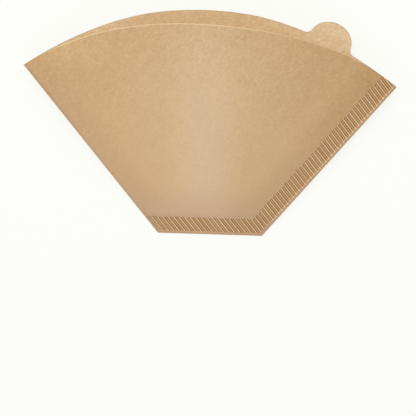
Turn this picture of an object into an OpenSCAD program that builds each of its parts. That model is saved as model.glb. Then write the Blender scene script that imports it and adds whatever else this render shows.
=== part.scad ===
// Cone coffee filter of unbleached paper, size 2, lying on its back with the mouth a little open.
// One sheet is folded once down the left side. Crimped seams close the bottom and the right side,
// the mouth is cut to an arc through both plies, and the lower ply carries a round ear.

/* [Outline] */
// Width of the pocket along the bottom edge, from the fold to the inside of the side seam
bottom_width = 36.4; // [28:0.1:56]
// Lean of the fold and of the side seam away from the middle line, in degrees
side_lean = 37.1; // [30:0.1:46]
// Height from the bottom edge to the top of the mouth's arc
height = 105.3; // [80:0.1:140]
// Radius of the arc that cuts the mouth
mouth_radius = 137; // [110:1:220]

/* [Paper] */
// Thickness of one ply
ply = 0.2; // [0.14:0.01:0.4]

/* [Crimped seams] */
// Width of the side seam, from the pocket to the cut edge
side_seam = 8.7; // [6:0.1:12]
// Height of the bottom seam
bottom_seam = 8.4; // [5.5:0.1:12]
// Plain strip between the bars and the cut edge of the side seam
side_margin = 1.8; // [0.8:0.1:3]
// Plain strip between the bars and the bottom edge
bottom_margin = 1.0; // [0.5:0.1:3]
// Distance from one pressed bar to the next, square to the bars
bar_pitch = 2; // [1.65:0.05:3.5]
// Width of a pressed bar at half its depth
bar_width = 1.3; // [0.8:0.05:1.65]
// Width of the sloping wall round each bar
bar_wall = 0.24; // [0.1:0.02:0.3]
// Slope of the bars below the line of the bottom edge, in degrees
bar_slope = 52.5; // [44:0.5:68]
// Depth of the bars, which stand out by as much on the back
press_depth = 0.4; // [0.2:0.05:0.7]

/* [Open mouth] */
// Gap between the plies at the middle of the mouth
mouth_gap = 25.4; // [12:0.1:36]
// How far the bow of the upper ply leans towards the side seam, as a share
bow_lean = 0.33; // [0:0.01:0.6]
// How much of the lower ply's bow the table presses flat
rest_flat = 1.5; // [0.6:0.1:2.5]

/* [Ear] */
// Radius of the round ear
ear_radius = 9.5; // [6:0.1:13]
// Distance of the ear's middle from the middle line, along the mouth's arc
ear_offset = 57; // [30:0.5:62]
// Radius of the fillets where the ear leaves the arc
ear_fillet = 2.6; // [0.6:0.1:4]

/* [Hidden] */

// The pocket in plan: half its bottom width, and the arc's centre below the bottom edge
half = bottom_width / 2;
spread = tan(side_lean);
arc_y = height - mouth_radius;

// Angle of the arc where it meets a line beside the pocket, and the length of the pocket's arc
function mouth_turn(w) = side_lean
    + asin(((half + spread * arc_y) * cos(side_lean) + w) / mouth_radius);
function on_mouth(turn) = [mouth_radius * sin(turn), mouth_radius * cos(turn) + arc_y];
pocket_turn = mouth_turn(0);
mouth_length = 2 * pocket_turn * PI / 180 * mouth_radius;

// The seams lie in one flat plane that rises from the bottom edge to the mouth, so that the
// backs of the bottom bars and the middle of the lower ply both rest on the table
bars_foot = bottom_margin + bar_wall;
rise = (mouth_gap / 2 - rest_flat - press_depth) / (height - bars_foot);
function seam_z(y) = ply + press_depth + rise * (y - bars_foot);

// Bow of a ply away from that plane: none at the fold and the seams, most at the mouth's middle.
// The upper ply is the more peaked of the two, and the table flattens the lower one.
upper_peak = 2.1;
lower_peak = 1.7;
easing = 0.12;
table_ease = 0.3;
function swell(v) = (sqrt(v * v + easing * easing) - easing)
    / (sqrt(1 + easing * easing) - easing);
function bow(u, v, peak) = mouth_gap / 2 * pow(4 * u * (1 - u), peak) * swell(v);
function on_table(z) = z > table_ease ? z : z < -table_ease ? 0
    : pow(z + table_ease, 2) / (4 * table_ease);

// A place on the pocket: u runs from the fold to the side seam, v from the bottom seam to the mouth
function foot(u) = [(2 * u - 1) * (half + spread * bottom_seam), bottom_seam];
function plan(u, v) = foot(u) + v * (on_mouth((2 * u - 1) * pocket_turn) - foot(u));
function upper(u, v, t) = let (p = plan(u, v), leant = u - bow_lean * u * (1 - u))
    [p.x, p.y, seam_z(p.y) + bow(leant, v, upper_peak) + t];
function lower(u, v, t) = let (p = plan(u, v))
    [p.x, p.y, on_table(seam_z(p.y) - ply - bow(u, v, lower_peak)) + ply - t];

// The ear's outline beside the arc, as [along, outward] pairs: a fillet, the round and a fillet
fillet_steps = 2;
round_steps = 10;
ear_foot = sqrt(ear_radius * (ear_radius + 2 * ear_fillet));
ear_meet = asin(ear_fillet / (ear_radius + ear_fillet));
ear_inside = [for (k = [0:fillet_steps - 1]) let (a = -90 + (90 - ear_meet) * k / fillet_steps)
    [ear_fillet * cos(a) - ear_foot, ear_fillet * (1 + sin(a))]];
ear_round = [for (k = [0:round_steps]) let (a = 180 - ear_meet - (180 - 2 * ear_meet) * k / round_steps)
    [ear_radius * cos(a), ear_radius * sin(a)]];
ear_line = concat(ear_inside, ear_round,
    [for (k = [fillet_steps - 1:-1:0]) [-ear_inside[k].x, ear_inside[k].y]]);
ear_steps = len(ear_line) - 1;
ear_rows = 3;
ear_u = 0.5 + ear_offset / mouth_length;

// Columns across the pocket, close together at the ear, and rows from the bottom seam to the mouth
left_columns = 14;
right_columns = 2;
ear_start = ear_u + ear_line[0].x / mouth_length;
ear_end = ear_u + ear_foot / mouth_length;
across = concat(
    [for (i = [0:left_columns - 1]) ear_start * i / left_columns],
    [for (k = [0:ear_steps - 1]) ear_u + ear_line[k].x / mouth_length],
    [for (i = [0:right_columns - 1]) ear_end + (1 - ear_end) * i / right_columns]);
last_column = len(across) - 1;
rows = 12;
row_crowding = 1.25;
along = [for (j = [0:rows]) pow(j / rows, row_crowding)];

// Lines across a seam, from the pocket to the cut edge: each has a height above the bottom edge
// and a distance outside the pocket's side
line_y = [bottom_seam, bottom_seam - bar_wall, bars_foot, bottom_margin, 0];
line_w = [0, bar_wall, side_seam - side_margin - bar_wall, side_seam - side_margin, side_seam];
last_line = len(line_y) - 1;

// Stations along the seams: q is the distance square to the bars. The fold and the mouth's arc
// are the first and the last station, and both seams' stations follow the bars. Stations that
// would fall closer together than least_step are one.
end_clearance = 0.3;
least_step = 0.04;
square = [sin(bar_slope), cos(bar_slope)];
down = [cos(bar_slope), -sin(bar_slope)];
function fold_point(k) = [-half - spread * line_y[k], line_y[k]];
function corner(k) = [half + line_w[k] / cos(side_lean) + spread * line_y[k], line_y[k]];
function end_point(k) = on_mouth(mouth_turn(line_w[k]));
function bar_point(q, k) = let (
    to_bottom = (q * square.y - line_y[k]) / -down.y,
    to_side = (half + line_w[k] / cos(side_lean) - q * (square.x - spread * square.y))
        / (down.x - spread * down.y)) q * square + min(to_bottom, to_side) * down;

first_q = max([for (k = [0:last_line]) square * fold_point(k)]) + end_clearance;
last_q = min([for (k = [0:last_line]) square * end_point(k)]) - end_clearance;
bars = floor((last_q - first_q) / bar_pitch);
bar_edges = [-bar_width - bar_wall, bar_wall - bar_width, bar_width - bar_wall, bar_width + bar_wall];
function sorted(a) = len(a) < 2 ? a : let (m = a[floor(len(a) / 2)]) concat(
    sorted([for (x = a) if (x < m) x]), [for (x = a) if (x == m) x],
    sorted([for (x = a) if (x > m) x]));
all_q = sorted(concat([for (k = [0:last_line]) square * corner(k)],
    [for (b = [0:bars - 1], e = bar_edges) first_q + bar_pitch * (b + 0.5) + e / 2]));
stations = [for (i = [0:len(all_q) - 1]) if (i == 0 || all_q[i] - all_q[i - 1] > least_step)
    all_q[i]];
last_station = len(stations) + 1;

// How deep a bar is pressed at q: full on its floor, none between the bars
function pressed(q) = let (n = floor((q - first_q) / bar_pitch),
    off = abs(q - first_q - bar_pitch * (n + 0.5))) n < 0 || n >= bars ? 0
    : press_depth * max(0, min(1, ((bar_width + bar_wall) / 2 - off) / bar_wall));
function seam_plan(s, k) = s == 0 ? fold_point(k) : s == last_station ? end_point(k)
    : bar_point(stations[s - 1], k);
function seam_press(s, k) = s == 0 || s == last_station || k == 0 || k > 2 ? 0
    : pressed(stations[s - 1]);
function seam_point(s, k, t) = let (p = seam_plan(s, k)) [p.x, p.y, seam_z(p.y) + t - seam_press(s, k)];

// All points, group by group, and the number of the first point in each group
lines = last_line + 1;
seam_count = (last_station + 1) * lines;
grid_count = (last_column + 1) * rows;
ear_count = (ear_steps - 1) * ear_rows;
function ear_place(k, r) = let (u = ear_u + ear_line[k].x / mouth_length)
    [u, 1 + ear_line[k].y * r / ear_rows / norm(plan(u, 1) - foot(u))];
points = concat(
    [for (s = [0:last_station], k = [0:last_line]) seam_point(s, k, ply)],
    [for (s = [0:last_station], k = [0:last_line]) seam_point(s, k, -ply)],
    [for (i = [0:last_column], j = [1:rows]) upper(across[i], along[j], ply)],
    [for (i = [0:last_column], j = [1:rows]) upper(across[i], along[j], 0)],
    [for (i = [0:last_column], j = [1:rows]) lower(across[i], along[j], 0)],
    [for (i = [0:last_column], j = [1:rows]) lower(across[i], along[j], ply)],
    [for (s = [0:last_station]) seam_point(s, 0, 0)],
    [for (k = [1:ear_steps - 1], r = [1:ear_rows]) let (e = ear_place(k, r)) lower(e[0], e[1], 0)],
    [for (k = [1:ear_steps - 1], r = [1:ear_rows]) let (e = ear_place(k, r)) lower(e[0], e[1], ply)],
    [for (k = [0:last_line]) seam_point(0, last_line - k, 0) - [ply, 0, 0]],
    [for (j = [1:rows]) upper(0, along[j], 0) - [ply, 0, 0]]);
grid_start = 2 * seam_count;
inner_start = grid_start + 4 * grid_count;
ear_first = inner_start + last_station + 1;
nose_start = ear_first + 2 * ear_count;

// Point numbers: both faces of the seams, the four faces of the two plies (0 is the upper ply's
// outside, 3 the lower ply's), the line inside the pocket where the plies part, and the ear
function seam_no(side, s, k) = side * seam_count + s * lines + k;
function grid_no(face, i, j) = grid_start + (face == 2 && i == 0 ? 1 : face) * grid_count
    + i * rows + j - 1;
function inner_no(s) = inner_start + s;
function rim_no(face, s) = face == 0 ? seam_no(0, s, 0) : face == 3 ? seam_no(1, s, 0) : inner_no(s);
function ear_no(face, k, r) = k == 0 || k == ear_steps || r == 0
    ? grid_no(face, left_columns + k, rows)
    : ear_first + (face - 2) * ear_count + (k - 1) * ear_rows + r - 1;

// Faces: clockwise from outside, with the empty ones left out
function facet(a, b, c, turn) = a == b || b == c || c == a ? [] : [turn ? [a, c, b] : [a, b, c]];
function patch(a, b, c, d, turn) = concat(facet(a, b, c, turn), facet(a, c, d, turn));

// The fine edge along the seams meets the coarse edge of the grid: each short side of one takes
// the corner of the other that lies beside it
corner_station = len([for (q = stations) if (q < square * corner(0) - least_step) q]) + 1;
fine = [for (s = [0:last_station]) s <= corner_station
    ? norm(seam_plan(s, 0) - seam_plan(0, 0)) / norm(seam_plan(corner_station, 0) - seam_plan(0, 0))
    : 1 + norm(seam_plan(s, 0) - seam_plan(corner_station, 0))
        / norm(seam_plan(last_station, 0) - seam_plan(corner_station, 0))];
last_coarse = last_column + rows - 1;
coarse = [for (c = [0:last_coarse]) c <= last_column ? across[c] / across[last_column]
    : 1 + (along[c - last_column + 1] - along[1]) / (1 - along[1])];
fine_mid = [for (s = [0:last_station - 1]) (fine[s] + fine[s + 1]) / 2];
coarse_mid = [for (c = [0:last_coarse - 1]) c == 0 ? -1 : (coarse[c] + coarse[c + 1]) / 2];
coarse_by_fine = [for (m = fine_mid) len([for (x = coarse_mid) if (x < m) x])];
fine_by_coarse = [for (m = coarse_mid) len([for (x = fine_mid) if (x <= m) x])];
function coarse_no(face, c) = c <= last_column ? grid_no(face, c, 1)
    : grid_no(face, last_column, c - last_column + 1);

function ply_faces(face, turn) = concat(
    [for (i = [0:last_column - 1], j = [1:rows - 1]) each patch(grid_no(face, i, j),
        grid_no(face, i, j + 1), grid_no(face, i + 1, j + 1), grid_no(face, i + 1, j), turn)],
    [for (s = [0:last_station - 1]) each facet(rim_no(face, s),
        coarse_no(face, coarse_by_fine[s]), rim_no(face, s + 1), turn)],
    [for (c = [0:last_coarse - 1]) each facet(coarse_no(face, c), coarse_no(face, c + 1),
        rim_no(face, fine_by_coarse[c]), turn)]);
function ear_faces(face, turn) = [for (k = [0:ear_steps - 1], r = [0:ear_rows - 1]) each
    patch(ear_no(face, k, r), ear_no(face, k, r + 1), ear_no(face, k + 1, r + 1),
        ear_no(face, k + 1, r), turn)];
function seam_faces(side, turn) = [for (s = [0:last_station - 1], k = [0:last_line - 1]) each
    patch(seam_no(side, s, k), seam_no(side, s + 1, k), seam_no(side, s + 1, k + 1),
        seam_no(side, s, k + 1), turn)];

// Edges of the paper, as strips between two lines of point numbers
function strip(a, b) = [for (i = [0:len(a) - 2]) each
    patch(a[i], b[i], b[i + 1], a[i + 1], false)];
function fold_side(side, face) = concat([for (k = [last_line:-1:0]) seam_no(side, 0, k)],
    [for (j = [1:rows]) grid_no(face, 0, j)]);
nose = [for (n = [0:last_line + rows]) nose_start + n];
cut_edge = strip([for (s = [0:last_station]) seam_no(1, s, last_line)],
    [for (s = [0:last_station]) seam_no(0, s, last_line)]);
function mouth_line(face) = concat(
    [for (i = [0:last_column]) each face > 1 && i == left_columns
        ? [for (k = [0:ear_steps - 1]) ear_no(face, k, ear_rows)]
        : face > 1 && i > left_columns && i < left_columns + ear_steps ? []
        : [grid_no(face, i, rows)]], [rim_no(face, last_station)]);
fold_end = seam_no(0, 0, last_line);
seam_end = concat(
    facet(seam_no(0, last_station, 0), inner_no(last_station), seam_no(0, last_station, 1), false),
    facet(inner_no(last_station), seam_no(1, last_station, 1), seam_no(0, last_station, 1), false),
    facet(inner_no(last_station), seam_no(1, last_station, 0), seam_no(1, last_station, 1), false),
    strip([for (k = [1:last_line]) seam_no(0, last_station, k)],
        [for (k = [1:last_line]) seam_no(1, last_station, k)]));

faces = concat(
    seam_faces(0, false), seam_faces(1, true),
    ply_faces(0, false), ply_faces(1, true), ply_faces(2, false), ply_faces(3, true),
    ear_faces(2, false), ear_faces(3, true),
    strip(fold_side(0, 0), nose), strip(nose, fold_side(1, 3)),
    facet(nose[0], fold_end, seam_no(1, 0, last_line), false), cut_edge,
    strip(mouth_line(0), mouth_line(1)), strip(mouth_line(2), mouth_line(3)),
    facet(grid_no(0, 0, rows), nose[last_line + rows], grid_no(1, 0, rows), false),
    facet(grid_no(1, 0, rows), nose[last_line + rows], grid_no(3, 0, rows), false),
    seam_end);

// The sheet stands over the middle of its own box, with its lowest points on the table
function middle(n) = (min([for (p = points) p[n]]) + max([for (p = points) p[n]])) / 2;
module coffee_filter() {
    color([0.80, 0.67, 0.50])
        translate([-middle(0), -middle(1), -min([for (p = points) p.z])])
            polyhedron(points = points, faces = faces, convexity = 6);
}

coffee_filter();
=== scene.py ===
import math

import bpy
import numpy as np
from mathutils import Matrix, Vector


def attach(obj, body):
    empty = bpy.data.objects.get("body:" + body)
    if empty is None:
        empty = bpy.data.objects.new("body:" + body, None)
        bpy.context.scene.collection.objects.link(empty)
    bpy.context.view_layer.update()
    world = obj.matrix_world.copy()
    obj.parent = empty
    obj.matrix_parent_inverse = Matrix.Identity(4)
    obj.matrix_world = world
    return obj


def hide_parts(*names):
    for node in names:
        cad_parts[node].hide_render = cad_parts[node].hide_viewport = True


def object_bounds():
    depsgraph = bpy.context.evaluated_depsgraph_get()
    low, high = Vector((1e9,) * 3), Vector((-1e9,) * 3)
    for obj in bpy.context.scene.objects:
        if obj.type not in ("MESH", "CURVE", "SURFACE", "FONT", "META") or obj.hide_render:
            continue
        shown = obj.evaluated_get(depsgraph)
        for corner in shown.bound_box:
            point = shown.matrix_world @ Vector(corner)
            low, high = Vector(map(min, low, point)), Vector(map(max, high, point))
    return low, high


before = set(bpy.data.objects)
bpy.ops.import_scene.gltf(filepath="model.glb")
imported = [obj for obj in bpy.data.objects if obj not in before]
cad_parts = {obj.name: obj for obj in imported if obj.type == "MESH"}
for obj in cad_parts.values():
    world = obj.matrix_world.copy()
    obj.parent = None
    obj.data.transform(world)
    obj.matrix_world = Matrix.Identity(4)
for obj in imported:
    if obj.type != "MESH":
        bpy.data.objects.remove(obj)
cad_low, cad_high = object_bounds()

# The folded sheet
# A cone filter of size 2 is one sheet of unbleached crepe paper. It is folded once down the left
# side, and the mouth is cut to an arc through both plies, which stand a little open.
mm = 0.001
ply = 0.2 * mm
bottom_width = 36.4 * mm
side_lean = math.radians(37.1)
height = (cad_high - cad_low).y
mouth_radius = 137 * mm
mouth_gap = 25.4 * mm
bottom_seam = 8.4 * mm
bottom_margin = 1.0 * mm
bar_wall = 0.24 * mm
press_depth = 0.4 * mm

half = bottom_width / 2
spread = math.tan(side_lean)
arc_y = height - mouth_radius


def mouth_turn(outside):
    """Angle of the mouth's arc where it meets a line that far outside the pocket's side."""
    middle_to_line = (half + spread * arc_y) * math.cos(side_lean) + outside
    return side_lean + math.asin(middle_to_line / mouth_radius)


def on_mouth(turn):
    """A place on the mouth's arc, in plan."""
    return np.stack([mouth_radius * np.sin(turn), mouth_radius * np.cos(turn) + arc_y], -1)


pocket_turn = mouth_turn(0)

# The seams lie in one flat plane that rises towards the mouth, and each ply bows away from it.
# The table presses the lower ply flat where that would sink into it.
rest_flat = 1.5 * mm
bars_foot = bottom_margin + bar_wall
rise = (mouth_gap / 2 - rest_flat - press_depth) / (height - bars_foot)
upper_peak = 2.1
lower_peak = 1.7
bow_lean = 0.33
easing = 0.12
table_ease = 0.3 * mm
table_clear = 2 * mm


def seam_level(y):
    """Height of the seams' middle plane above the table."""
    return ply + press_depth + rise * (y - bars_foot)


def bow(u, v, peak):
    """Bow of a ply: none at the fold and the seams, most at the middle of the mouth."""
    swell = (np.sqrt(v * v + easing * easing) - easing) / (math.sqrt(1 + easing * easing) - easing)
    return mouth_gap / 2 * np.clip(4 * u * (1 - u), 0, None) ** peak * swell


def on_table(z):
    """A height that is kept from sinking into the table, with a soft turn where it touches."""
    eased = (z + table_ease) ** 2 / (4 * table_ease)
    return np.where(z > table_ease, z, np.where(z < -table_ease, 0, eased))


def plan(u, v):
    """A place in the pocket: u runs from the fold to the side seam, v from bottom seam to mouth."""
    u, v = np.broadcast_arrays(u, v)
    along_foot = (2 * u - 1) * (half + spread * bottom_seam)
    foot = np.stack([along_foot, np.full(u.shape, bottom_seam)], -1)
    return foot + v[..., None] * (on_mouth((2 * u - 1) * pocket_turn) - foot)


def slack(u, v, swings):
    """Slow unevenness of a ply that was packed and handled: none at its held sides."""
    held = (4 * u * (1 - u)) * np.clip(v, 0, 1)
    waves = (size * mm * np.sin(across_turn * u + along_turn * v + start)
             for size, across_turn, along_turn, start in swings)
    return held * sum(waves)


# Each wave has its height in mm, then in radians its turns across and along the ply and the turn
# that it starts at
upper_swings = [(0.22, 9.0, 4.0, 0.6), (0.14, 17.0, -9.0, 2.1), (0.10, 25.0, 15.0, 4.0)]
lower_swings = [(0.16, 11.0, 5.0, 1.9), (0.10, 21.0, -8.0, 0.3)]


def upper_ply(u, v, out):
    """The upper ply's inner face, raised by out towards its outer face."""
    xy = plan(u, v)
    leant = u - bow_lean * u * (1 - u)
    z = seam_level(xy[..., 1]) + bow(leant, v, upper_peak) + slack(u, v, upper_swings) + out
    return np.concatenate([xy, z[..., None]], -1)


def lower_ply(u, v, out):
    """The lower ply's inner face, lowered by out towards its outer face."""
    xy = plan(u, v)
    free = on_table(seam_level(xy[..., 1]) - ply - bow(u, v, lower_peak))
    z = free + slack(u, v, lower_swings) * np.clip(free / table_clear, 0, 1) + ply - out
    return np.concatenate([xy, z[..., None]], -1)


# Points are laid group by group, with what the finish has to know of each: its place on the sheet
# before it was folded, how far across a seam it lies, and whether it is cut, in painted shade, inside
# or near the fold
point_marks = ("across_seam", "cut_edge", "worn_edge", "inner_side", "near_fold")
sheet = {name: [] for name in ("place", "flat_sheet") + point_marks}
fold_foot = np.array([-half, 0])
fold_square = np.array([math.cos(side_lean), math.sin(side_lean)])


def lay(place, upper, across_seam=-1.0, cut_edge=0.0, worn_edge=0.0, inner_side=0.0, near_fold=0.0):
    """Lays an array of points on the sheet and returns their numbers in the same layout."""
    shape = place.shape[:-1]
    first = sum(len(group) for group in sheet["place"])
    number = np.arange(first, first + math.prod(shape)).reshape(shape)
    past_fold = (place[..., :2] - fold_foot) @ fold_square
    turned = place[..., :2] - (2 * past_fold[..., None] * fold_square if upper else 0)
    sheet["place"].append(place.reshape(-1, 3))
    sheet["flat_sheet"].append(np.append(turned.reshape(-1, 2), np.zeros((number.size, 1)), 1))
    marks = (across_seam, cut_edge, worn_edge, inner_side, near_fold)
    for name, mark in zip(point_marks, marks):
        sheet[name].append(np.broadcast_to(mark, shape).reshape(-1))
    return number


# The plies and the ear
# Each ply has an outer and an inner face. The ear is a round tab, cut with the lower ply near the
# side seam, by which a finger picks the filter up. Small fillets lead into it from the arc.
ear_radius = 9.5 * mm
ear_offset = 57 * mm
ear_fillet = 2.6 * mm
ear_foot = math.sqrt(ear_radius * (ear_radius + 2 * ear_fillet))
ear_meet = math.asin(ear_fillet / (ear_radius + ear_fillet))
fillet_points = 6
tab_points = 37
fillet_turns = np.linspace(-math.pi / 2, -ear_meet, fillet_points)[:-1]
fillet = ear_fillet * np.stack([np.cos(fillet_turns), 1 + np.sin(fillet_turns)], -1) - [ear_foot, 0]
tab_turns = np.linspace(math.pi - ear_meet, ear_meet, tab_points)
tab_arc = ear_radius * np.stack([np.cos(tab_turns), np.sin(tab_turns)], -1)
ear_line = np.concatenate([fillet, tab_arc, fillet[::-1] * [-1, 1]])

# Columns run up from the bottom seam and are closest together at the ear. Rows crowd a little
# towards the seam, and the last two lie at the cut edge of the mouth.
edge_band = 0.45 * mm
fold_band = 1.2 * mm
row_crowding = 1.25
left_points = 71
right_points = 6
row_points = 73
mouth_length = 2 * pocket_turn * mouth_radius
ear_columns = 0.5 + ear_offset / mouth_length + ear_line[:, 0] / mouth_length
left_columns = np.linspace(0, ear_columns[0], left_points)[:-1]
right_columns = np.linspace(ear_columns[-1], 1, right_points)[1:-1]
across = np.concatenate([left_columns, ear_columns, right_columns])
ear_column = len(left_columns)
past_ear = ear_column + len(ear_columns)
edge_start = 1 - edge_band / (height - bottom_seam)
along = np.append(np.linspace(0, 1, row_points)[1:-1] ** row_crowding, [edge_start, 1])
u, v = np.meshgrid(across, along, indexing="ij")


def fade(value, none_at, full_at):
    """0 where a value is at none_at, 1 where it is at full_at, and straight between."""
    return np.clip((value - none_at) / (full_at - none_at), 0, 1)


# The mouth's cut edge is bright from near the fold to past its middle, partly the cut's light fuzz and
# partly painted highlight, and darkened at both tips by painted shade
# Painted shade darkens the left tip of the cut and, more faintly, the lower ply's cut edge and the ear
left_tip_shade = 0.5
lower_edge_shade = 0.4
at_edge = fade(v, edge_start, 1)
at_fold = fade((plan(u, v) - fold_foot) @ fold_square, fold_band, 0)
bright_cut = fade(u, 0.8, 0.6) * fade(u, 0.06, 0.12)
shaded_cut = fade(u, 0.93, 0.96) + left_tip_shade * fade(u, 0.07, 0.02)
upper_out = lay(upper_ply(u, v, ply), True, cut_edge=at_edge * bright_cut,
                worn_edge=at_edge * shaded_cut, near_fold=at_fold)
upper_in = lay(upper_ply(u, v, 0), True, cut_edge=at_edge, inner_side=1.0)
at_lower_edge = lower_edge_shade * at_edge
at_lower_edge[ear_column:past_ear] *= fade(ear_line[:, 1:], edge_band, 0)
lower_out = lay(lower_ply(u, v, ply), False, worn_edge=at_lower_edge, near_fold=at_fold)
lower_in = lay(lower_ply(u, v, 0), False, worn_edge=at_lower_edge, inner_side=1.0)
lower_in[0] = upper_in[0]


def patch(number, over):
    """Quads of a grid of point numbers, facing up where over is true."""
    quad_corners = [number[:-1, :-1], number[1:, :-1], number[1:, 1:], number[:-1, 1:]]
    quads = np.stack(quad_corners, -1).reshape(-1, 4)
    return [tuple(quad) for quad in (quads if over else quads[:, ::-1]).tolist()]


def whole(faces):
    """Faces with the corners that fall on one point left out, and empty faces dropped."""
    kept = (tuple(dict.fromkeys(face)) for face in faces)
    return [face for face in kept if len(face) > 2]


paper_faces = patch(upper_out, True) + patch(upper_in, False)
paper_faces += patch(lower_in, True) + patch(lower_out, False)

# The ear's rows carry the lower ply on past the mouth, out to the tab's outline
tab_row_points = 15
tab_columns = ear_columns[1:-1]
tab_rows = np.linspace(0, 1, tab_row_points)[1:]
tab_reach = ear_line[1:-1, 1:]
spokes = on_mouth((2 * tab_columns - 1) * pocket_turn) - plan(tab_columns, 0.0)
tab_v = 1 + tab_reach * tab_rows / np.linalg.norm(spokes, axis=1, keepdims=True)
tab_edge = lower_edge_shade * fade(tab_reach * (1 - tab_rows), edge_band, 0)
ear_grids = {}
for side, mouth, out in (("in", lower_in, 0.0), ("out", lower_out, ply)):
    place = lower_ply(tab_columns[:, None], tab_v, out)
    tab = lay(place, False, worn_edge=tab_edge, inner_side=float(side == "in"))
    ends = [np.repeat(mouth[column, -1], tab.shape[1] + 1)[None] for column in (ear_column, past_ear - 1)]
    rows = np.concatenate([mouth[ear_column + 1:past_ear - 1, -1:], tab], 1)
    ear_grids[side] = np.concatenate([ends[0], rows, ends[1]])
paper_faces += whole(patch(ear_grids["in"], True) + patch(ear_grids["out"], False))

# The crimped seams
# Both plies are pressed together between toothed wheels, without glue, along the bottom and up the
# right side. Slanting bars sink into the front, stand out at the back, and hold the plies.
side_seam = 8.7 * mm
side_margin = 1.45 * mm
bar_pitch = 2.0 * mm
bar_width = 1.3 * mm
bar_slope = math.radians(52.5)
bar_clearance = 0.3 * mm
square = np.array([math.sin(bar_slope), math.cos(bar_slope)])
down = np.array([math.cos(bar_slope), -math.sin(bar_slope)])

# Lines run along the seams, from the pocket to the cut edge, closest where the bars end
band = np.array([0, 0.02, 0.035, 0.05, 0.065, 0.085, 0.12, 0.2, 0.32, 0.44, 0.56,
                 0.68, 0.8, 0.88, 0.915, 0.935, 0.95, 0.965, 0.98, 1])
margin = np.array([0.35, 0.75, 1])
line_y = np.append(bottom_seam - band * (bottom_seam - bottom_margin), bottom_margin * (1 - margin))
line_w = np.append(band * (side_seam - side_margin), side_seam - side_margin * (1 - margin))
fold_ends = np.stack([-half - spread * line_y, line_y], -1)
corners = np.stack([half + line_w / math.cos(side_lean) + spread * line_y, line_y], -1)
mouth_ends = np.stack([on_mouth(mouth_turn(w)) for w in line_w])


def on_bar(q):
    """The places where the bar's line at distance q crosses the lines along the seams."""
    to_bottom = (q * square[1] - line_y) / -down[1]
    side_x = half + line_w / math.cos(side_lean)
    to_side = (side_x - q * (square[0] - spread * square[1])) / (down[0] - spread * down[1])
    return q * square + np.minimum(to_bottom, to_side)[:, None] * down


# Each bar is crossed at its two walls, its floor and the crest beside it. The corner has lines of
# its own, and past the last whole bar the lines turn evenly to the slant of the mouth's cut.
closest_lines = 0.03 * mm
turned_lines = 41
first_bar = (fold_ends @ square).max() + bar_clearance
last_bar = (mouth_ends @ square).min() - bar_clearance
bars = int((last_bar - first_bar) / bar_pitch)
bar_steps = np.array([-0.77, -0.65, -0.53, -0.35, -0.18, 0, 0.18, 0.35, 0.53, 0.65, 0.77, 1]) * mm
bar_lines = (first_bar + bar_pitch * (np.arange(bars)[:, None] + 0.5) + bar_steps).ravel()
stations = np.sort(np.append(bar_lines, corners[::2] @ square))
stations = stations[np.append(True, np.diff(stations) > closest_lines)]
last_line = on_bar(stations[-1])
to_mouth = np.linspace(0, 1, turned_lines)[1:, None, None]
past_bars = last_line + to_mouth * (mouth_ends - last_line)
seam_plan = np.concatenate([[fold_ends], [on_bar(q) for q in stations], past_bars])
seam_mid = np.append(seam_plan, seam_level(seam_plan[..., 1:]), -1)

# The seams' edges are darkened by painted shade, more so the further they are up the side
corner_height = 20 * mm
seam_across = np.broadcast_to(line_w, seam_plan.shape[:-1])
from_mouth = np.linalg.norm(seam_plan - seam_plan[-1], axis=-1)
from_edge = np.minimum(from_mouth, side_seam - seam_across)
seam_edge = fade(seam_plan[..., 1], 0, corner_height) * fade(from_edge, edge_band, 0)
seam_fold = fade((seam_plan - fold_foot) @ fold_square, fold_band, 0)
upward = np.array([0, 0, 1.0])
seam_top = lay(seam_mid + ply * upward, True, seam_across, worn_edge=seam_edge, near_fold=seam_fold)
seam_back = lay(seam_mid - ply * upward, False, seam_across, worn_edge=seam_edge, near_fold=seam_fold)
parting = lay(seam_mid[:, 0], False, 0.0, inner_side=1.0)
seam_faces = patch(seam_top, False) + patch(seam_back, True)

# Fine lines of the seams meet the coarser columns and rows of the plies
turning = int(np.argmin(np.abs(stations - corners[0] @ square))) + 1
steps = np.linalg.norm(np.diff(seam_plan[:, 0], axis=0), axis=1)
walked = np.append(0, np.cumsum(steps))
up_side_walk = 1 + (walked - walked[turning]) / (walked[-1] - walked[turning])
fine_at = np.where(np.arange(len(walked)) <= turning, walked / walked[turning], up_side_walk)
coarse_at = np.append(across / across[-1], 1 + (along[1:] - along[0]) / (1 - along[0]))


def stitch(fine, coarse, over):
    """Triangles between two lines of point numbers that run side by side."""
    faces = []
    f = 0
    c = 0
    while f < len(fine) - 1 or c < len(coarse) - 1:
        fine_left = f < len(fine) - 1
        fine_turn = c == len(coarse) - 1 or (fine_left and fine_at[f + 1] <= coarse_at[c + 1])
        ahead = fine[f + 1] if fine_turn else coarse[c + 1]
        face = (fine[f], ahead, coarse[c])
        faces.append(face if over else face[::-1])
        if fine_turn:
            f += 1
        else:
            c += 1
    return faces


for rim, number, over in ((seam_top[:, 0], upper_out, True), (parting, upper_in, False),
                          (parting, lower_in, True), (seam_back[:, 0], lower_out, False)):
    coarse = np.append(number[:, 0], number[-1, 1:])
    paper_faces += stitch(rim.tolist(), coarse.tolist(), over)

# The edges
# The fold is a tight round bend. Everywhere else the paper is cut, so that a few fibres stand out
# along the edge, and in the seams a fine groove parts the two plies.
burr = 0.05 * mm
groove = 0.04 * mm
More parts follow.
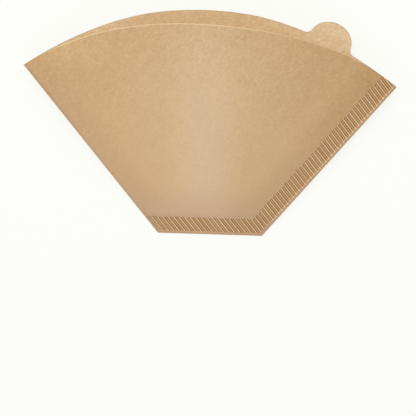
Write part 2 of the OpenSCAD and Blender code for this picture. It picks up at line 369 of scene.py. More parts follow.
# Painted shade on the lower ply's cut faces
lower_cut_shade = 0.5
bend_turns = np.radians([30, 60, 90, 120, 150])
leftward = np.array([-1.0, 0, 0])
fold_line = np.append(seam_mid[0, ::-1], upper_ply(np.zeros(len(along)), along, 0), 0)
bend = np.stack([fold_line + ply * (np.cos(t) * upward + np.sin(t) * leftward) for t in bend_turns])
bend_rows = lay(bend, False, near_fold=1.0)
top_row = np.append(seam_top[0, ::-1], upper_out[0])
back_row = np.append(seam_back[0, ::-1], lower_out[0])
fold_rows = np.concatenate([[top_row], bend_rows, [back_row]])
paper_faces += patch(fold_rows, False)
points = np.concatenate(sheet["place"])


def edge_middle(place, out, upper=False, across_seam=-1.0, bright=0.0, worn=1.0):
    """Points along the middle of a cut edge that runs to the right, moved out of the sheet."""
    run = np.gradient(place[:, :2], axis=0)
    away = np.stack([-run[:, 1], run[:, 0], 0 * run[:, 0]], -1)
    away /= np.linalg.norm(away, axis=1, keepdims=True)
    return lay(place + out * away, upper, across_seam, cut_edge=bright, worn_edge=worn)


def close_edge(top, middle, back):
    """Faces of a cut edge that runs to the right, from its top line to its back line."""
    return whole(patch(np.stack([back, middle, top]), True))


def round_ear(ply_grid, ear_grid, seam_end):
    """The numbers along the lower ply's cut edge, round the ear and to its end at the seam."""
    before = ply_grid[:ear_column, -1]
    after = ply_grid[past_ear:, -1]
    return np.concatenate([before, ear_grid[:, -1], after, [seam_end]])


upper_line = np.append(upper_out[:, -1], seam_top[-1, 0])
under_line = np.append(upper_in[:, -1], parting[-1])
bright = np.append(bright_cut[:, -1], 0)
worn = np.append(shaded_cut[:, -1], 1)
between = (points[upper_line] + points[under_line]) / 2
middle = edge_middle(between, burr, upper=True, bright=bright, worn=worn)
middle[[0, -1]] = under_line[[0, -1]]
cut_faces = close_edge(upper_line, middle, under_line)

inner_line = round_ear(lower_in, ear_grids["in"], parting[-1])
outer_line = round_ear(lower_out, ear_grids["out"], seam_back[-1, 0])
between = (points[inner_line] + points[outer_line]) / 2
middle = edge_middle(between, burr, worn=lower_cut_shade)
middle[[0, -1]] = inner_line[[0, -1]]
cut_faces += close_edge(inner_line, middle, outer_line)

end_line = edge_middle(seam_mid[-1], -groove, across_seam=line_w)
end_line[0] = parting[-1]
side_line = edge_middle(seam_mid[:, -1], groove, across_seam=side_seam)
side_line[-1] = end_line[-1]
cut_faces += close_edge(seam_top[-1], end_line, seam_back[-1])
cut_faces += close_edge(seam_top[::-1, -1], side_line[::-1], seam_back[::-1, -1])
bottom_fan = fold_rows[:, 0].tolist()
mouth_fan = fold_rows[:, -1].tolist()
cut_faces += [(int(side_line[0]), a, b) for a, b in zip(bottom_fan, bottom_fan[1:])]
cut_faces += [(int(inner_line[0]), b, a) for a, b in zip(mouth_fan, mouth_fan[1:])]

# The whole sheet as one mesh, over the middle of its box and with its lowest points on the table
faces = paper_faces + seam_faces + cut_faces
on_cut = np.arange(len(faces)) >= len(paper_faces) + len(seam_faces)
points = np.concatenate(sheet["place"])
used = np.unique(np.concatenate([np.array(face) for face in faces]))
renumbered = np.zeros(len(points), int)
renumbered[used] = np.arange(len(used))
points = points[used]
middle_of_plan = (points.min(0) + points.max(0))[:2] / 2
points[:, :2] -= middle_of_plan
sheet_mesh = bpy.data.meshes.new("filter_sheet")
sheet_mesh.from_pydata(points.tolist(), [], [tuple(renumbered[list(face)].tolist()) for face in faces])
for name in point_marks:
    mark = sheet_mesh.attributes.new(name, "FLOAT", "POINT")
    mark.data.foreach_set("value", np.concatenate(sheet[name])[used].astype(np.float32))
flat = sheet_mesh.attributes.new("flat_sheet", "FLOAT_VECTOR", "POINT")
flat.data.foreach_set("vector", np.concatenate(sheet["flat_sheet"])[used].astype(np.float32).ravel())
cut = sheet_mesh.attributes.new("cut_face", "BOOLEAN", "FACE")
cut.data.foreach_set("value", on_cut)
filter_sheet = bpy.data.objects.new("filter_sheet", sheet_mesh)
bpy.context.scene.collection.objects.link(filter_sheet)

# The paper
# Unbleached softwood pulp, creped on the machine, so that fine wrinkles run one way across the
# sheet, and turn with it at the fold. Dark flecks and cloudy patches are left from the pulp.


def add(tree, kind, settings=None, **inputs):
    """Adds a node to a tree, with its settings, and its inputs given by name as values or sockets."""
    node = tree.nodes.new(kind)
    for name, value in (settings or {}).items():
        setattr(node, name, value)
    for name, value in inputs.items():
        wanted = name.replace("_", " ").lower()
        socket = next(s for s in node.inputs if s.enabled and s.name.lower() == wanted)
        if isinstance(value, bpy.types.NodeSocket):
            tree.links.new(value, socket)
        else:
            socket.default_value = value
    return node


def reckon(tree, operation, *terms):
    """A math node on sockets or numbers, as its result."""
    node = tree.nodes.new("ShaderNodeMath")
    node.operation = operation
    for socket, term in zip(node.inputs, terms):
        if isinstance(term, bpy.types.NodeSocket):
            tree.links.new(term, socket)
        else:
            socket.default_value = term
    return node.outputs[0]


def ramp(tree, value, low, high, smooth=True):
    """0 at low, 1 at high, eased at both ends where smooth."""
    node = add(tree, "ShaderNodeMapRange", {"interpolation_type": "SMOOTHSTEP" if smooth else "LINEAR"},
               value=value, from_min=low, from_max=high)
    return node.outputs[0]


def blend(tree, share, first, second):
    """Mixes two colours by a share from 0 to 1."""
    node = tree.nodes.new("ShaderNodeMix")
    node.data_type = "RGBA"
    for socket, value in zip((node.inputs[0], node.inputs[6], node.inputs[7]), (share, first, second)):
        if isinstance(value, bpy.types.NodeSocket):
            tree.links.new(value, socket)
        else:
            socket.default_value = value
    return node.outputs[2]


def srgb(red, green, blue):
    """A colour written as it is seen, from 0 to 255, as the shader takes it."""
    parts = [c / 255 for c in (red, green, blue)]
    return tuple(c / 12.92 if c <= 0.04045 else ((c + 0.055) / 1.055) ** 2.4 for c in parts) + (1.0,)


def shader_group(name, takes, gives):
    """A shader node group, as its tree, the sockets that it takes and those that it gives."""
    group = bpy.data.node_groups.new(name, "ShaderNodeTree")
    for in_out, sockets in (("INPUT", takes), ("OUTPUT", gives)):
        for socket, kind in sockets.items():
            group.interface.new_socket(name=socket, in_out=in_out, socket_type="NodeSocket" + kind)
    taken = group.nodes.new("NodeGroupInput").outputs
    given = group.nodes.new("NodeGroupOutput").inputs
    return group, taken, given


# The pulp: its wrinkles and fibres, flocs of several sizes, clouds and flecks
pulp, pulp_takes, pulp_gives = shader_group(
    "unbleached_pulp", {"Flat place": "Vector", "Colour": "Color", "Mottling": "Float", "Creping": "Float"},
    {"Colour": "Color", "Height": "Float", "Roughness": "Float"})
crepe_turn = math.radians(17)
along_crepe = add(pulp, "ShaderNodeMapping", vector=pulp_takes["Flat place"],
                  rotation=(0, 0, -crepe_turn)).outputs[0]


def stretched(length, width, **looks):
    """Noise whose features are that long along the crepe and that wide across it."""
    scaled = add(pulp, "ShaderNodeVectorMath", {"operation": "MULTIPLY"}, vector=along_crepe)
    scaled.inputs[1].default_value = (1 / length, 1 / width, 1 / width)
    return add(pulp, "ShaderNodeTexNoise", vector=scaled.outputs[0], scale=1.0, **looks).outputs[0]


def swing(value, size):
    """A noise value turned into a change about nothing, of that size."""
    return reckon(pulp, "MULTIPLY", reckon(pulp, "SUBTRACT", value, 0.5), size)


wrinkles = stretched(2.1 * mm, 0.65 * mm, detail=3.0, roughness=0.6, distortion=0.5)
fibres = stretched(0.9 * mm, 0.16 * mm, detail=3.0, roughness=0.65, distortion=0.3)
formation = stretched(1.6 * mm, 1.3 * mm, detail=3.0, roughness=0.62)
flocs = stretched(4.2 * mm, 3.4 * mm, detail=1.0, roughness=0.5)
patches = stretched(9 * mm, 7 * mm, detail=1.0, roughness=0.5)
clouds = stretched(19 * mm, 15 * mm, detail=2.0, roughness=0.5)
specks = stretched(0.42 * mm, 0.3 * mm, detail=1.0, roughness=0.4)

# Each noise makes the paper lighter and darker by a share of its brightness, least in red and
# most in blue
channel_swing = (0.75, 1.05, 1.4)
warm_cloud_colour = srgb(208, 166, 132)
warm_cloud_strength = 0.12
fleck_colour = srgb(120, 80, 45)
fleck_strength = 0.4
fibre_height = 0.2
mean_roughness = 0.62
creped = reckon(pulp, "MULTIPLY", swing(wrinkles, 0.5), pulp_takes["Creping"])
fine_swing = reckon(pulp, "ADD", swing(formation, 0.34), swing(fibres, 0.22))
slow_swing = reckon(pulp, "ADD", swing(flocs, 0.14), swing(patches, 0.05))
mottled = reckon(pulp, "MULTIPLY", reckon(pulp, "ADD", fine_swing, slow_swing), pulp_takes["Mottling"])
unevenness = reckon(pulp, "ADD", reckon(pulp, "ADD", mottled, swing(clouds, 0.11)), creped)
tinted = add(pulp, "ShaderNodeVectorMath", {"operation": "MULTIPLY_ADD"}, vector=unevenness)
tinted.inputs[1].default_value = channel_swing
tinted.inputs[2].default_value = (1, 1, 1)
shaded = add(pulp, "ShaderNodeVectorMath", {"operation": "MULTIPLY"}, vector=pulp_takes["Colour"])
pulp.links.new(tinted.outputs[0], shaded.inputs[1])
warm_cloud = reckon(pulp, "MULTIPLY", ramp(pulp, clouds, 0.4, 0.75), warm_cloud_strength)
warmed = blend(pulp, warm_cloud, shaded.outputs[0], warm_cloud_colour)
fleck = reckon(pulp, "MULTIPLY", ramp(pulp, specks, 0.74, 0.80), fleck_strength)
pulp.links.new(blend(pulp, fleck, warmed, fleck_colour), pulp_gives["Colour"])
wrinkle_relief = reckon(pulp, "MULTIPLY", wrinkles, pulp_takes["Creping"])
fibre_relief = reckon(pulp, "MULTIPLY", fibres, fibre_height)
pulp.links.new(reckon(pulp, "ADD", wrinkle_relief, fibre_relief), pulp_gives["Height"])
pulp.links.new(reckon(pulp, "ADD", swing(fibres, 0.2), mean_roughness), pulp_gives["Roughness"])

# The paper's tone with painted light and shade: soft paler and darker spots, each with its middle
# and its reach in mm and whether its peak is rounded, then soft bands of painted light and shade
# beside the fold and the seams. The pale spots are painted light on the bowed front and its left
# mouth, the dark one painted shade at the right tip
paper_colour = srgb(203, 164, 114)
painted_light_and_shade_spots = (((-3.1, 9.7, 12), (74, 95, 150), False, srgb(224, 190, 145)),
              ((-2.4, -18, 12), (23, 120, 60), True, srgb(225, 195, 158)),
              ((-61, 39, 8), (23, 15, 20), False, srgb(219, 182, 133)),
              ((80, 25, 8), (20, 13, 20), False, srgb(194, 153, 101)))
# Painted light pales the foot; painted shade darkens above the bottom seam, beside the fold and beside the
# side seam. The seam margins take their colour from the same shade
foot_colour = srgb(205, 170, 139)
margin_and_shade_colour = srgb(190, 151, 117)
shade_colour = srgb(196, 160, 126)
low_seam_shade = srgb(186, 152, 115)
high_seam_shade = srgb(181, 142, 98)
inside_colour = srgb(219, 189, 145)
lit_tips_colour = srgb(224, 197, 158)
tone_and_painted_light, tone_takes, tone_gives = shader_group(
    "tone_and_painted_light", {"Object place": "Vector", "Inner side": "Float"}, {"Colour": "Color", "Mottling": "Float"})
parts = add(tone_and_painted_light, "ShaderNodeSeparateXYZ", vector=tone_takes["Object place"])
along_sheet = parts.outputs["X"]
up_sheet = parts.outputs["Y"]


def from_side(foot, inward):
    """How far a place lies inside a slanting side, by the side's foot and the way inwards."""
    reached = add(tone_and_painted_light, "ShaderNodeVectorMath", {"operation": "DOT_PRODUCT"},
                  vector=tone_takes["Object place"])
    reached.inputs[1].default_value = (*inward, 0)
    return reckon(tone_and_painted_light, "ADD", reached.outputs["Value"], float((middle_of_plan - foot) @ inward))


def soft_band(value, none_at, full_at, share):
    """A band from nothing at none_at to a share, a number or a socket, at full_at, both in mm."""
    return reckon(tone_and_painted_light, "MULTIPLY", ramp(tone_and_painted_light, value, none_at * mm, full_at * mm), share)


# The spots blend in painted light, and painted shade at the right tip
outer_colour = paper_colour
spot_shares = []
for middle, reach, rounded, colour in painted_light_and_shade_spots:
    spot = add(tone_and_painted_light, "ShaderNodeMapping", {"vector_type": "TEXTURE"}, vector=tone_takes["Object place"],
               location=[size * mm for size in middle], scale=[size * mm for size in reach])
    cone = add(tone_and_painted_light, "ShaderNodeTexGradient", {"gradient_type": "SPHERICAL"}, vector=spot.outputs[0])
    spot_share = cone.outputs["Fac"]
    if rounded:
        spot_share = ramp(tone_and_painted_light, spot_share, 0.0, 1.0)
    spot_shares.append(spot_share)
    outer_colour = blend(tone_and_painted_light, spot_share, outer_colour, colour)
from_fold = from_side(fold_foot, fold_square)
from_seam = from_side(-fold_foot, fold_square * [-1, 1])
# Bands of painted light at the foot and of painted shade above the bottom seam, beside the fold and beside
# the side seam
at_foot = soft_band(up_sheet, -25, -44, 0.8)
above_seam = soft_band(up_sheet, -40.5, -45, 0.33)
beside_fold = soft_band(from_fold, 15, 1, soft_band(up_sheet, 31, 20, 0.5))
beside_seam = soft_band(from_seam, 13, 1, 0.5)
up_seam = ramp(tone_and_painted_light, up_sheet, -15 * mm, 8 * mm)
seam_shade = blend(tone_and_painted_light, up_seam, low_seam_shade, high_seam_shade)
for share, colour in ((at_foot, foot_colour), (above_seam, margin_and_shade_colour),
                      (beside_fold, shade_colour), (beside_seam, seam_shade)):
    outer_colour = blend(tone_and_painted_light, share, outer_colour, colour)
# Towards both tips the inner side is paler: painted light, where the upper ply casts no shade
to_tips = ramp(tone_and_painted_light, reckon(tone_and_painted_light, "ABSOLUTE", along_sheet), 30 * mm, 48 * mm)
within = blend(tone_and_painted_light, to_tips, inside_colour, lit_tips_colour)
tone_and_painted_light.links.new(blend(tone_and_painted_light, tone_takes["Inner side"], outer_colour, within), tone_gives["Colour"])

# The mottling grows towards the mouth, and is calmer in the wide pale middle of painted light
calming = 0.42
mottling = add(tone_and_painted_light, "ShaderNodeMapRange", value=up_sheet, from_min=-45 * mm, from_max=50 * mm,
               to_min=0.2, to_max=1.9).outputs[0]
calm = reckon(tone_and_painted_light, "SUBTRACT", 1.0, reckon(tone_and_painted_light, "MULTIPLY", spot_shares[0], calming))
tone_and_painted_light.links.new(reckon(tone_and_painted_light, "MULTIPLY", mottling, calm), tone_gives["Mottling"])

# The edges: a warmer fold, a bright cut edge that is partly painted highlight, and darker ends of
# painted shade
fold_colour = srgb(190, 146, 104)
fold_strength = 0.6
# The bright cut edge is partly the cut's lighter fuzz and partly painted highlight
cut_colour = srgb(252, 228, 188)
cut_strength = 0.8
cut_sharpness = 1.5
# The darker ends are painted shade
edge_shade_colour = srgb(140, 112, 82)
edge_shade_strength = 0.75
edge_tint_and_light, edge_takes, edge_gives = shader_group(
    "edge_tint_and_light", {"Colour": "Color", "Near fold": "Float", "Cut edge": "Float", "Worn edge": "Float"},
    {"Colour": "Color"})
fold_share = reckon(edge_tint_and_light, "MULTIPLY", edge_takes["Near fold"], fold_strength)
folded = blend(edge_tint_and_light, fold_share, edge_takes["Colour"], fold_colour)
sharpened = reckon(edge_tint_and_light, "POWER", edge_takes["Cut edge"], cut_sharpness)
cut_share = reckon(edge_tint_and_light, "MULTIPLY", sharpened, cut_strength)
edged = blend(edge_tint_and_light, cut_share, folded, cut_colour)
edge_shade_share = reckon(edge_tint_and_light, "MULTIPLY", edge_takes["Worn edge"], edge_shade_strength)
edge_tint_and_light.links.new(blend(edge_tint_and_light, edge_shade_share, edged, edge_shade_colour), edge_gives["Colour"])
wrinkle_depth = 0.10 * mm


def read(tree, name, output="Fac"):
    """A mark that was laid with the sheet, for use in a material."""
    return add(tree, "ShaderNodeAttribute", {"attribute_name": name}).outputs[output]


def paper(name, creping):
    """A material with the paper's look, from the three groups."""
    material = bpy.data.materials.new(name)
    material.use_nodes = True
    tree = material.node_tree
    object_place = tree.nodes.new("ShaderNodeTexCoord").outputs["Object"]
    tone = add(tree, "ShaderNodeGroup", {"node_tree": tone_and_painted_light, "name": "tone"},
               object_place=object_place, inner_side=read(tree, "inner_side"))
    grain = add(tree, "ShaderNodeGroup", {"node_tree": pulp, "name": "grain"},
                flat_place=read(tree, "flat_sheet", "Vector"), colour=tone.outputs["Colour"],
                mottling=tone.outputs["Mottling"], creping=creping)
    edge_shading = add(tree, "ShaderNodeGroup", {"node_tree": edge_tint_and_light, "name": "edge_shading"},
               colour=grain.outputs["Colour"], near_fold=read(tree, "near_fold"),
               cut_edge=read(tree, "cut_edge"), worn_edge=read(tree, "worn_edge"))
    shader = tree.nodes["Principled BSDF"]
    shader.inputs["Specular IOR Level"].default_value = 0.5
    bump = add(tree, "ShaderNodeBump", distance=wrinkle_depth, strength=1.0, height=grain.outputs["Height"])
    tree.links.new(bump.outputs[0], shader.inputs["Normal"])
    tree.links.new(grain.outputs["Roughness"], shader.inputs["Roughness"])
    tree.links.new(edge_shading.outputs["Colour"], shader.inputs["Base Color"])
    return material


# The creping shows most inside, where the paper wasn't smoothed
outer_creping = 0.3
inner_creping = 1.0
cut_creping = 0.2
crepe_paper = paper("crepe_paper", outer_creping)
tree = crepe_paper.node_tree
creping = tree.nodes.new("ShaderNodeMix")
creping.inputs[2].default_value = outer_creping
creping.inputs[3].default_value = inner_creping
tree.links.new(read(tree, "inner_side"), creping.inputs[0])
tree.links.new(creping.outputs[0], tree.nodes["grain"].inputs["Creping"])
cut_paper = paper("cut_paper", cut_creping)

# In the seams the wheels have burnished the pressed bars: the paper there is denser and darker, and
# its hollows carry painted shade, while the crests between the bars stay loose and carry a painted
# highlight
# The dark lines by the bars' walls are partly burnished paper and partly painted shade
bar_colour = srgb(203, 162, 114)
line_colour = srgb(138, 99, 61)
crest_highlight_colour = srgb(253, 216, 171)
bar_end = side_seam - side_margin
margin_share = 0.75
crimped_paper = paper("crimped_paper", outer_creping)
tree = crimped_paper.node_tree
seam_mark = read(tree, "across_seam")
on_margin = reckon(tree, "MULTIPLY", ramp(tree, seam_mark, bar_end, bar_end + 0.3 * mm), margin_share)
colour = blend(tree, on_margin, tree.nodes["edge_shading"].outputs["Colour"], margin_and_shade_colour)
pressed_colour = blend(tree, read(tree, "toothed"), bar_colour, line_colour)
colour = blend(tree, read(tree, "burnish_and_shade"), colour, pressed_colour)

# The crests run on a little into the margin up the side, and end there in a spot of painted highlight
side_from = -48 * mm
side_full = -42 * mm
crest_overrun = 0.9 * mm
crest_fading = 0.5 * mm
light_end_share = 0.85
raised_share = 0.95
seam_place = add(tree, "ShaderNodeSeparateXYZ", vector=tree.nodes.new("ShaderNodeTexCoord").outputs["Object"])
up_side = ramp(tree, seam_place.outputs["Y"], side_from, side_full)
crest_stop = reckon(tree, "ADD", reckon(tree, "MULTIPLY", up_side, crest_overrun), bar_end)
crest_starts = ramp(tree, seam_mark, 0.1 * mm, 0.7 * mm)
crest_ends = ramp(tree, seam_mark, crest_stop, reckon(tree, "SUBTRACT", crest_stop, crest_fading))
in_band = reckon(tree, "MULTIPLY", crest_starts, crest_ends)
crest = reckon(tree, "MULTIPLY", in_band, read(tree, "crest"))
past_bar = ramp(tree, seam_mark, bar_end - 0.2 * mm, bar_end + 0.1 * mm)
before_edge = ramp(tree, seam_mark, bar_end + 0.75 * mm, bar_end + 0.35 * mm)
at_ends = reckon(tree, "MULTIPLY", past_bar, before_edge)
light_end = reckon(tree, "MULTIPLY", at_ends, ramp(tree, read(tree, "ridge"), 0.6, 1.0))
light_end = reckon(tree, "MULTIPLY", reckon(tree, "MULTIPLY", light_end, up_side), light_end_share)
# Crests and their end spots get a painted highlight
raised = reckon(tree, "MULTIPLY", reckon(tree, "MAXIMUM", crest, light_end), raised_share)
colour = blend(tree, raised, colour, crest_highlight_colour)
tree.links.new(colour, tree.nodes["Principled BSDF"].inputs["Base Color"])

# The crimping
# A toothed wheel presses bar after bar into the seams, each at the same slant and a little
# different from the last, with fine lines on its floor. The mouth's cut crosses the last two. The
# tree moves the paper down by the bars.
cut_bars = 2
crimp_sizes = {"Pitch": bar_pitch, "Width": bar_width, "Wall": bar_wall, "Depth": press_depth,
               "Slope": bar_slope, "First bar": first_bar - middle_of_plan @ square, "Band": bar_end,
               "Tooth lines": 0.5 * mm, "Line depth": 0.12 * mm, "Crest": 0.3 * mm,
               "Unevenness": 0.14 * mm, "Fading": 0.3, "Dimming": 0.42}
crimp_counts = {"Bars": bars + cut_bars, "Seed": 7}
crimping = bpy.data.node_groups.new("crimping", "GeometryNodeTree")
crimping.interface.new_socket(name="Sheet", in_out="INPUT", socket_type="NodeSocketGeometry")
for name in crimp_sizes:
    crimping.interface.new_socket(name=name, in_out="INPUT", socket_type="NodeSocketFloat")
for name in crimp_counts:
    crimping.interface.new_socket(name=name, in_out="INPUT", socket_type="NodeSocketInt")
crimping.interface.new_socket(name="Paper", in_out="INPUT", socket_type="NodeSocketMaterial")
crimping.interface.new_socket(name="Sheet", in_out="OUTPUT", socket_type="NodeSocketGeometry")
wheel = crimping.nodes.new("NodeGroupInput").outputs


def work(operation, *terms):
    """A math node of the crimping's tree."""
    return reckon(crimping, operation, *terms)


def chance(step):
    """A number from 0 to 1 that is the same all along one bar."""
    node = crimping.nodes.new("FunctionNodeRandomValue")
    node.data_type = "FLOAT"
    crimping.links.new(bar_number, node.inputs["ID"])
    crimping.links.new(work("ADD", wheel["Seed"], step), node.inputs["Seed"])
    return next(s for s in node.outputs if s.enabled)


def uneven(step):
    """A length from nothing to the unevenness, the same all along one bar."""
    return work("MULTIPLY", chance(step), wheel["Unevenness"])


# Where a point lies: how many bars along the seam, how far from that bar's middle, how far across
point_place = crimping.nodes.new("GeometryNodeInputPosition").outputs[0]
place = add(crimping, "ShaderNodeSeparateXYZ", vector=point_place)
along_x = work("MULTIPLY", place.outputs["X"], work("SINE", wheel["Slope"]))
along_y = work("MULTIPLY", place.outputs["Y"], work("COSINE", wheel["Slope"]))
across_bars = work("ADD", along_x, along_y)
turned_by = work("DIVIDE", work("SUBTRACT", across_bars, wheel["First bar"]), wheel["Pitch"])
bar_number = work("FLOOR", turned_by)
off_middle = work("ABSOLUTE", work("SUBTRACT", work("FRACT", turned_by), 0.5))
from_middle = work("MULTIPLY", off_middle, wheel["Pitch"])
across_mark = add(crimping, "GeometryNodeInputNamedAttribute", {"data_type": "FLOAT"},
                  name="across_seam").outputs[0]

# The bar that is pressed there, with sloping walls all round and ends that differ a little, the
# inner ones three times as much
inner_unevenness = 3.0
half_wall = work("MULTIPLY", wheel["Wall"], 0.5)
half_width = work("SUBTRACT", work("MULTIPLY", wheel["Width"], 0.5), work("MULTIPLY", uneven(1), 0.5))
wall_foot = work("SUBTRACT", half_width, half_wall)
wall_top = work("ADD", half_width, half_wall)
on_floor = ramp(crimping, from_middle, wall_top, wall_foot)
inner_end = work("MULTIPLY", uneven(2), inner_unevenness)
outer_end = work("SUBTRACT", wheel["Band"], uneven(3))
past_inner = ramp(crimping, across_mark, inner_end, work("ADD", inner_end, wheel["Wall"]))
before_outer = ramp(crimping, across_mark, outer_end, work("SUBTRACT", outer_end, wheel["Wall"]))
past_first = work("GREATER_THAN", bar_number, -0.5)
counted = work("MULTIPLY", past_first, work("LESS_THAN", bar_number, wheel["Bars"]))
in_length = work("MULTIPLY", past_inner, before_outer)
pressed = work("MULTIPLY", work("MULTIPLY", on_floor, counted), in_length)
toothed = work("PINGPONG", work("DIVIDE", from_middle, wheel["Tooth lines"]), 1.0)
shallower = work("MULTIPLY", work("SUBTRACT", 1.0, toothed), wheel["Line depth"])
depth = work("SUBTRACT", wheel["Depth"], work("MULTIPLY", uneven(4), 0.5))
sunk = work("MULTIPLY", pressed, work("SUBTRACT", depth, shallower))

# What the finish has to know: the bars, burnished and in painted shade, faint where the run of them
# starts at the fold and softer at their inner ends, the ridges between them, and the crests along the
# ridges, which get a painted highlight
faint_bars = 3.0
soft_walls = 2.5
ridge = work("MULTIPLY", work("SUBTRACT", 1.0, on_floor), counted)
half_pitch = work("MULTIPLY", wheel["Pitch"], 0.5)
crest = ramp(crimping, from_middle, work("SUBTRACT", half_pitch, wheel["Crest"]), half_pitch, smooth=False)
soft_reach = work("ADD", inner_end, work("MULTIPLY", wheel["Wall"], soft_walls))
soft_end = ramp(crimping, across_mark, 0.0, soft_reach)
burnish_and_shade = work("MULTIPLY", work("SUBTRACT", 1.0, crest), counted)
burnish_and_shade = work("MULTIPLY", burnish_and_shade, work("MULTIPLY", soft_end, before_outer))
faded = work("SUBTRACT", 1.0, work("MULTIPLY", chance(5), wheel["Fading"]))
started = work("ADD", work("MULTIPLY", ramp(crimping, turned_by, 0.0, faint_bars), 0.5), 0.5)
burnish_and_shade = work("MULTIPLY", burnish_and_shade, work("MULTIPLY", faded, started))
dimmed = work("SUBTRACT", 1.0, work("MULTIPLY", chance(6), wheel["Dimming"]))
lit_crest = work("MULTIPLY", crest, work("MULTIPLY", dimmed, started))
marked = wheel["Sheet"]
for name, value in (("burnish_and_shade", burnish_and_shade), ("toothed", toothed), ("ridge", ridge), ("crest", lit_crest)):
    marked = add(crimping, "GeometryNodeStoreNamedAttribute", {"data_type": "FLOAT", "domain": "POINT"},
                 geometry=marked, name=name, value=value).outputs[0]
lowered = add(crimping, "ShaderNodeCombineXYZ", z=work("MULTIPLY", sunk, -1.0))
moved = add(crimping, "GeometryNodeSetPosition", geometry=marked, offset=lowered.outputs[0])
real = add(crimping, "GeometryNodeRealizeInstances", geometry=moved.outputs[0])
cut_mark = add(crimping, "GeometryNodeInputNamedAttribute", {"data_type": "BOOLEAN"}, name="cut_face")
uncut = work("SUBTRACT", 1.0, next(s for s in cut_mark.outputs if s.enabled))
in_seam = work("MULTIPLY", work("GREATER_THAN", across_mark, -0.01 * mm), uncut)
papered = add(crimping, "GeometryNodeSetMaterial", geometry=real.outputs[0], selection=in_seam,
              material=wheel["Paper"])
crimping.links.new(papered.outputs[0], crimping.nodes.new("NodeGroupOutput").inputs[0])

for material in (crepe_paper, cut_paper):
    sheet_mesh.materials.append(material)
sheet_mesh.polygons.foreach_set("material_index", on_cut.astype(int))
press = filter_sheet.modifiers.new("crimping", "NODES")
press.node_group = crimping
sockets = {item.name: item.identifier for item in crimping.interface.items_tree if item.in_out == "INPUT"}
for name, size in crimp_sizes.items():
    press[sockets[name]] = float(size)
for name, count in crimp_counts.items():
    press[sockets[name]] = count
press[sockets["Paper"]] = crimped_paper
crimped = bpy.data.meshes.new_from_object(filter_sheet.evaluated_get(bpy.context.evaluated_depsgraph_get()))
filter_sheet.modifiers.remove(press)
filter_sheet.data = crimped
sharp_turn = math.radians(48)
crimped.polygons.foreach_set("use_smooth", np.ones(len(crimped.polygons), bool))
crimped.set_sharp_from_angle(angle=sharp_turn)
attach(filter_sheet, "root")
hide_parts("coffee_filter")

# The floor
# A plain white table top. What the camera sees of it is mostly its own light, so that it is white,
# and for the rest the lamps', so that it still keeps the filter's soft shadow.
floor_reach = 3.0
floor_drop = 0.01 * mm
glow_share = 0.85
floor_colour = srgb(252, 253, 249)
white_light = srgb(254, 255, 250)
floor_signs = ((-1, -1), (1, -1), (1, 1), (-1, 1))
floor_corners = [(x * floor_reach, y * floor_reach, -floor_drop) for x, y in floor_signs]
floor_mesh = bpy.data.meshes.new("floor")
floor_mesh.from_pydata(floor_corners, [], [(0, 1, 2, 3)])
floor = bpy.data.objects.new("floor", floor_mesh)
bpy.context.scene.collection.objects.link(floor)
white_top = bpy.data.materials.new("white_top")
white_top.use_nodes = True
tree = white_top.node_tree
shader = tree.nodes["Principled BSDF"]
shader.inputs["Base Color"].default_value = floor_colour
shader.inputs["Roughness"].default_value = 0.9
glow = add(tree, "ShaderNodeEmission", color=white_light, strength=1.0)
seen = tree.nodes.new("ShaderNodeLightPath").outputs["Is Camera Ray"]
mixed = tree.nodes.new("ShaderNodeMixShader")
tree.links.new(reckon(tree, "MULTIPLY", seen, glow_share), mixed.inputs[0])
tree.links.new(shader.outputs[0], mixed.inputs[1])
tree.links.new(glow.outputs[0], mixed.inputs[2])
tree.links.new(mixed.outputs[0], tree.nodes["Material Output"].inputs["Surface"])
floor_mesh.materials.append(white_top)

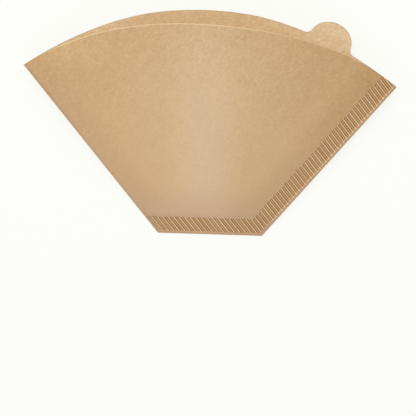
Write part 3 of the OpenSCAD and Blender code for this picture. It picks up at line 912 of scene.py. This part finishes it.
# The light
# Plain soft studio light: an even white surround, which looks white itself, a wide lamp and a low
# one beyond the mouth, and a weak one over the foot.
surround_level = 0.48
lamp_size = 0.6
surround = bpy.data.worlds.new("surround")
surround.use_nodes = True
tree = surround.node_tree
seen = tree.nodes.new("ShaderNodeLightPath").outputs
mirrored = reckon(tree, "MAXIMUM", seen["Is Glossy Ray"], seen["Is Transmission Ray"])
straight = reckon(tree, "MAXIMUM", seen["Is Camera Ray"], mirrored)
strength = reckon(tree, "ADD", reckon(tree, "MULTIPLY", straight, 1 - surround_level), surround_level)
tree.links.new(strength, tree.nodes["Background"].inputs["Strength"])
tree.nodes["Background"].inputs["Color"].default_value = white_light
bpy.context.scene.world = surround

for name, place, energy in (("lamp_over_mouth", (-0.12, 0.75, 1.0), 8.0),
                            ("low_lamp_at_mouth", (-0.2, 1.1, 0.55), 1.6),
                            ("lamp_over_foot", (-0.1, -0.9, 0.9), 0.8)):
    lamp_data = bpy.data.lights.new(name, "AREA")
    lamp_data.shape = "DISK"
    lamp_data.size = lamp_size
    lamp_data.energy = energy
    lamp = bpy.data.objects.new(name, lamp_data)
    lamp.location = place
    lamp.rotation_mode = "QUATERNION"
    lamp.rotation_quaternion = (-lamp.location).to_track_quat("-Z", "Y")
    bpy.context.scene.collection.objects.link(lamp)

# The camera
# A long lens looks down on the filter from a little beyond its mouth, so that the far ply shows
# above the near one. It aims at the filter's lower part, because the filter lies high in the view.
leaned_back = math.radians(20)
turned = math.radians(0.148)
rolled = math.radians(1.793)
distance = 1.0372
aim = (-0.38 * mm, -37.78 * mm)
back = Vector((0, math.sin(leaned_back), math.cos(leaned_back)))
up = Vector((0, math.cos(leaned_back), -math.sin(leaned_back)))
right = Vector((1, 0, 0))
toward = back * math.cos(turned) + right * math.sin(turned)
right = right * math.cos(turned) - back * math.sin(turned)
camera_right = right * math.cos(rolled) + up * math.sin(rolled)
camera_up = up * math.cos(rolled) - right * math.sin(rolled)
camera_place = camera_right * aim[0] + camera_up * aim[1] + toward * distance
camera_data = bpy.data.cameras.new("camera")
camera_data.lens = 200
camera_data.sensor_width = 36
camera = bpy.data.objects.new("camera", camera_data)
facing = Matrix((camera_right, camera_up, toward)).transposed().to_4x4()
camera.matrix_world = Matrix.Translation(camera_place) @ facing
bpy.context.scene.collection.objects.link(camera)
bpy.context.scene.camera = camera
bpy.context.scene.view_settings.view_transform = "Standard"
